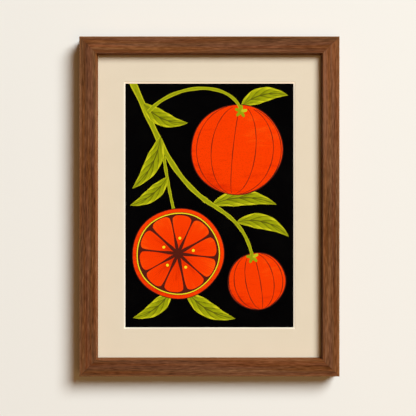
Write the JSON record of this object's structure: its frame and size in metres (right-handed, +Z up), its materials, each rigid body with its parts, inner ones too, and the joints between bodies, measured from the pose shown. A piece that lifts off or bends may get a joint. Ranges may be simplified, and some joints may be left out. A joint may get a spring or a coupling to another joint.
{
  "type": "framed print",
  "caption": "Upright rectangular picture frame in brown wood with glass, a cream bevelled mat and a print, closed at the back by turn buttons and hung by a toothed strap.",
  "frame": {"origin": "where the wall nail bears on the middle notch of the toothed hanger, on the wall's surface", "axes": "+X to the right as seen from the front, +Y back into the wall, +Z up along the frame's height"},
  "size_m": [0.3326, 0.0296, 0.4345],
  "materials": {
    "walnut": "satin oil",
    "glass": "anti-reflective",
    "mat": "matt",
    "print": "matt",
    "tape": "matt",
    "mount_board": "matt",
    "filler_card": "corrugated",
    "hardboard": "smooth pressed",
    "zinc_plate": "zinc plated",
    "bright_steel": "bright",
    "rubber": "matt"
  },
  "bodies": {
    "frame": {"backing_board": "hardboard", "bumper_left": "rubber", "bumper_right": "rubber", "filler_board": "filler_card", "glass": "glass", "hanger_nail_left": "bright_steel", "hanger_nail_right": "bright_steel", "hinge_tape_left": "tape", "hinge_tape_right": "tape", "mat_board": "mat", "mount_board": "mount_board", "print_sheet": "print", "rail_bottom": "walnut", "rail_left": "walnut", "rail_right": "walnut", "rail_top": "walnut", "sawtooth_hanger": "zinc_plate", "turn_screw_bottom_left": "bright_steel", "turn_screw_bottom_right": "bright_steel", "turn_screw_left_lower": "bright_steel", "turn_screw_left_upper": "bright_steel", "turn_screw_right_lower": "bright_steel", "turn_screw_right_upper": "bright_steel", "turn_screw_top_left": "bright_steel", "turn_screw_top_right": "bright_steel", "v_nail_bottom_left": "bright_steel", "v_nail_bottom_right": "bright_steel", "v_nail_top_left": "bright_steel", "v_nail_top_right": "bright_steel"},
    "turn_button_left_upper": {"turn_button_left_upper": "zinc_plate"},
    "turn_button_left_lower": {"turn_button_left_lower": "zinc_plate"},
    "turn_button_top_left": {"turn_button_top_left": "zinc_plate"},
    "turn_button_top_right": {"turn_button_top_right": "zinc_plate"},
    "turn_button_right_upper": {"turn_button_right_upper": "zinc_plate"},
    "turn_button_right_lower": {"turn_button_right_lower": "zinc_plate"},
    "turn_button_bottom_left": {"turn_button_bottom_left": "zinc_plate"},
    "turn_button_bottom_right": {"turn_button_bottom_right": "zinc_plate"}
  },
  "joints": [
    {"name": "swivel_left_upper", "type": "hinge", "parent": "frame", "child": "turn_button_left_upper", "pos_m": [-0.15825, -0.003, -0.09125], "axis": [0, 1, 0], "continuous": true},
    {"name": "swivel_left_lower", "type": "hinge", "parent": "frame", "child": "turn_button_left_lower", "pos_m": [-0.15825, -0.003, -0.32125], "axis": [0, 1, 0], "continuous": true},
    {"name": "swivel_top_left", "type": "hinge", "parent": "frame", "child": "turn_button_top_left", "pos_m": [-0.08, -0.003, 0.003], "axis": [0, 1, 0], "continuous": true},
    {"name": "swivel_top_right", "type": "hinge", "parent": "frame", "child": "turn_button_top_right", "pos_m": [0.08, -0.003, 0.003], "axis": [0, 1, 0], "continuous": true},
    {"name": "swivel_right_upper", "type": "hinge", "parent": "frame", "child": "turn_button_right_upper", "pos_m": [0.15825, -0.003, -0.09125], "axis": [0, 1, 0], "continuous": true},
    {"name": "swivel_right_lower", "type": "hinge", "parent": "frame", "child": "turn_button_right_lower", "pos_m": [0.15825, -0.003, -0.32125], "axis": [0, 1, 0], "continuous": true},
    {"name": "swivel_bottom_left", "type": "hinge", "parent": "frame", "child": "turn_button_bottom_left", "pos_m": [-0.08, -0.003, -0.4155], "axis": [0, 1, 0], "continuous": true},
    {"name": "swivel_bottom_right", "type": "hinge", "parent": "frame", "child": "turn_button_bottom_right", "pos_m": [0.08, -0.003, -0.4155], "axis": [0, 1, 0], "continuous": true}
  ]
}
